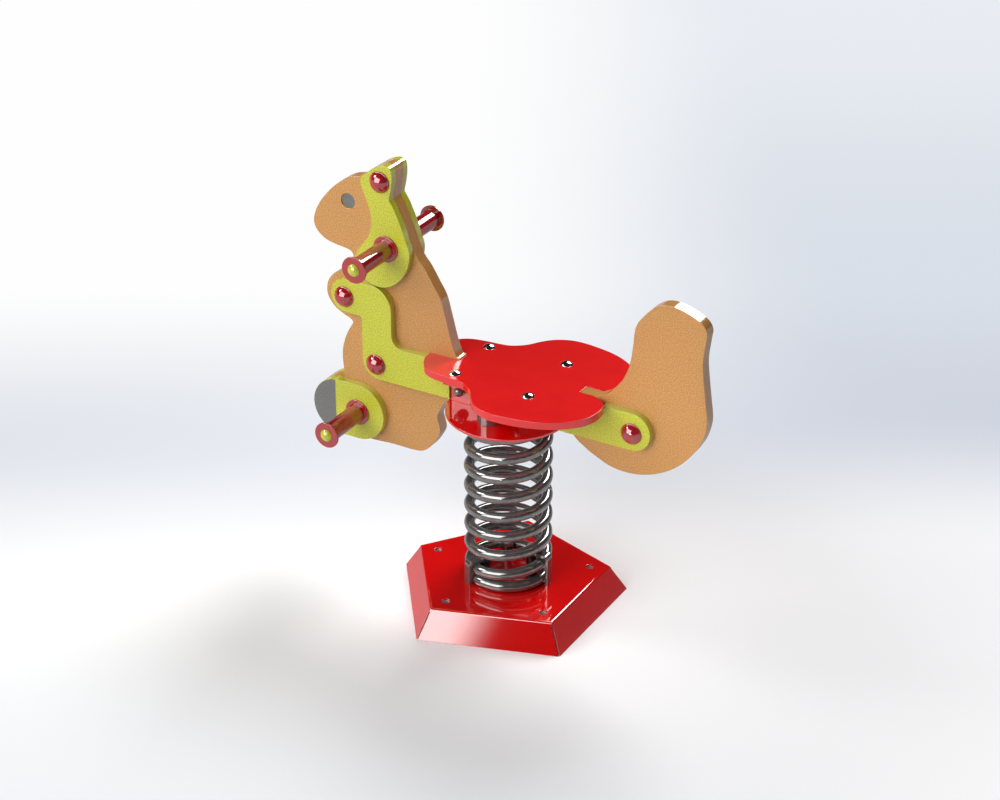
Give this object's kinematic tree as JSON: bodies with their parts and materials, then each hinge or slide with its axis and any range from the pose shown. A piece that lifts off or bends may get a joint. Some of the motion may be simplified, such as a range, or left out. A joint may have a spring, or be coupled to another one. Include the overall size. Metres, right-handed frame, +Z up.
{
  "type": "spring rider",
  "caption": "Playground spring rider in a squirrel's outline: board panels, seat, grips and footrests on a coil spring over a bolted base pan.",
  "frame": {"origin": "on the ground under the spring axis, at the centre of the anchor circle", "axes": "+Z up along the spring, +X from the nose towards the tail, +Y to the rider's right"},
  "size_m": [0.9991, 0.533, 1.0283],
  "materials": {
    "base_red": "gloss red powder coat",
    "dark_steel": "black oxide steel",
    "spring_steel": "dark polished spring steel",
    "zinc": "zinc plated",
    "chrome": "bright chrome",
    "seat_red": "gloss red board",
    "tan_board": "fine orange peel",
    "lime_board": "fine orange peel",
    "grey_board": "fine orange peel",
    "cap_red": "gloss",
    "lime_cap": "gloss"
  },
  "bodies": {
    "base": {"base_pan": "base_red", "anchor_sleeves": "zinc", "backing_plate": "dark_steel", "spring_clamps": "spring_steel", "clamp_spacers": "dark_steel", "clamp_bolts": "zinc", "clamp_nuts": "zinc"},
    "spring": {"spring": "spring_steel"},
    "rider": {"head_plate": "base_red", "spring_u_bolts": "dark_steel", "u_bolt_nuts": "zinc", "left_cheek": "base_red", "right_cheek": "base_red", "left_seat_post": "spring_steel", "right_seat_post": "spring_steel", "front_seat_bar": "base_red", "rear_seat_bar": "base_red", "cheek_bolts": "zinc", "cheek_nuts": "spring_steel", "seat": "seat_red", "seat_bolts": "chrome", "seat_nuts": "zinc", "body_panel": "tan_board", "eye_disc": "grey_board", "left_ear_panel": "lime_board", "right_ear_panel": "lime_board", "left_arm_panel": "lime_board", "right_arm_panel": "lime_board", "left_foot_panel": "lime_board", "right_foot_panel": "lime_board", "left_toe": "grey_board", "right_toe": "grey_board", "toe_dowels": "zinc", "tail_panel": "tan_board", "left_tail_link": "lime_board", "right_tail_link": "lime_board", "panel_bolts": "zinc", "panel_nuts": "zinc", "left_dome_caps": "cap_red", "right_dome_caps": "cap_red", "hand_rod": "zinc", "left_hand_grip": "cap_red", "right_hand_grip": "cap_red", "hand_rod_nuts": "zinc", "left_hand_cap": "lime_cap", "right_hand_cap": "lime_cap", "foot_rod": "zinc", "left_footrest": "cap_red", "right_footrest": "cap_red", "foot_rod_nuts": "zinc", "left_foot_cap": "lime_cap", "right_foot_cap": "lime_cap"}
  },
  "joints": [
    {"name": "rock_fore_aft", "type": "hinge", "parent": "base", "child": "spring", "pos_m": [0, 0, 0.2], "axis": [0, 1, 0], "range_deg": [-20, 20], "stiffness_Nm_per_rad": 900, "deforming": ["spring"]},
    {"name": "rock_sideways", "type": "hinge", "parent": "spring", "child": "rider", "pos_m": [0, 0, 0.36], "axis": [1, 0, 0], "range_deg": [-15, 15], "stiffness_Nm_per_rad": 900, "deforming": ["spring"]}
  ]
}
